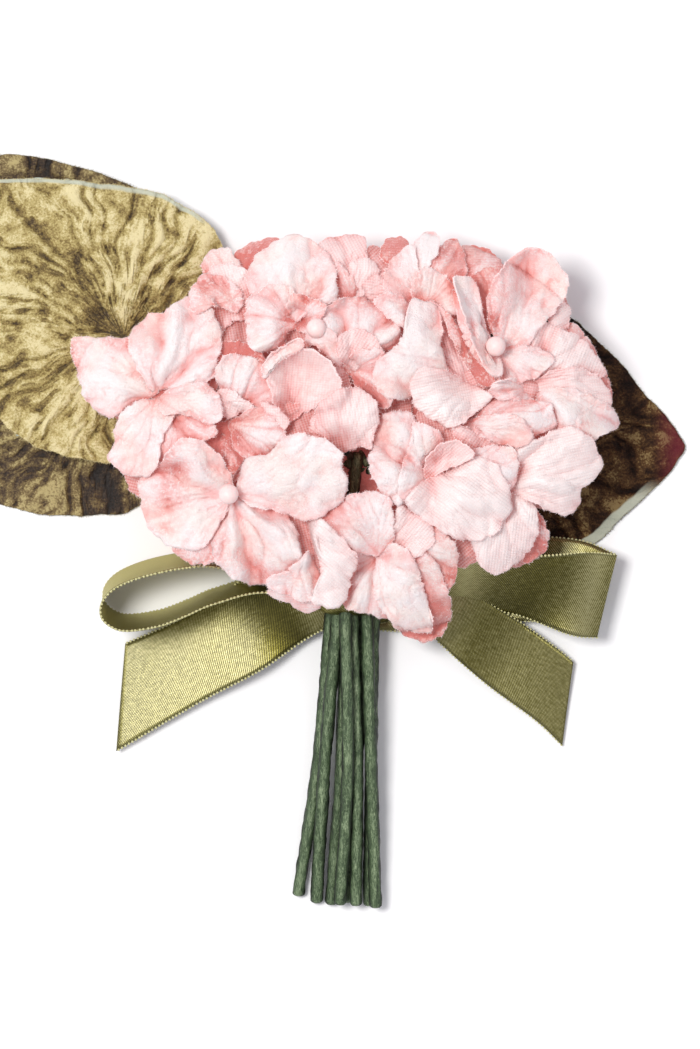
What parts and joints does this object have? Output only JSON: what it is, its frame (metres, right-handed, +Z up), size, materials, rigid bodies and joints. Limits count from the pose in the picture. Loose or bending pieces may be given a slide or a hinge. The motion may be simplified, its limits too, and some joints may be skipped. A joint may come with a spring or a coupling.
{
  "type": "fabric hydrangea bunch with ribbon bow",
  "caption": "Bunch of pink velvet hydrangea florets with velvet leaves, paper-wrapped wire stems and an olive satin ribbon bow, lying flat.",
  "frame": {"origin": "middle of the bunch's footprint on the surface that it lies on", "axes": "+Z up from the surface, -Y along the stems to their cut ends, +X to the right as the picture shows the bunch"},
  "size_m": [0.1425, 0.1427, 0.0346],
  "materials": {
    "petal_velvet": "pale pink velvet, woven on the back, deeper pink at the edges and folds",
    "pip_pearl": "matt pearl pink",
    "stem_wrap": "green crepe paper wound tightly round wire",
    "leaf_velvet_gold": "crushed olive gold velvet with pressed ribs",
    "leaf_velvet_dark": "crushed dark olive brown velvet, burgundy at the tip",
    "ribbon_satin": "olive green satin with a stitched selvedge"
  },
  "bodies": {
    "root": {"flower_head": "petal_velvet", "pip_low_left": "pip_pearl", "pip_up_left": "pip_pearl", "pip_right": "pip_pearl", "stem_1": "stem_wrap", "stem_2": "stem_wrap", "stem_3": "stem_wrap", "stem_4": "stem_wrap", "stem_5": "stem_wrap", "stem_6": "stem_wrap", "stem_7": "stem_wrap", "stem_8": "stem_wrap", "leaf_left": "leaf_velvet_gold", "leaf_left_back": "leaf_velvet_dark", "leaf_left_low": "leaf_velvet_dark", "leaf_right": "leaf_velvet_dark", "ribbon_bow": "ribbon_satin"}
  },
  "joints": []
}
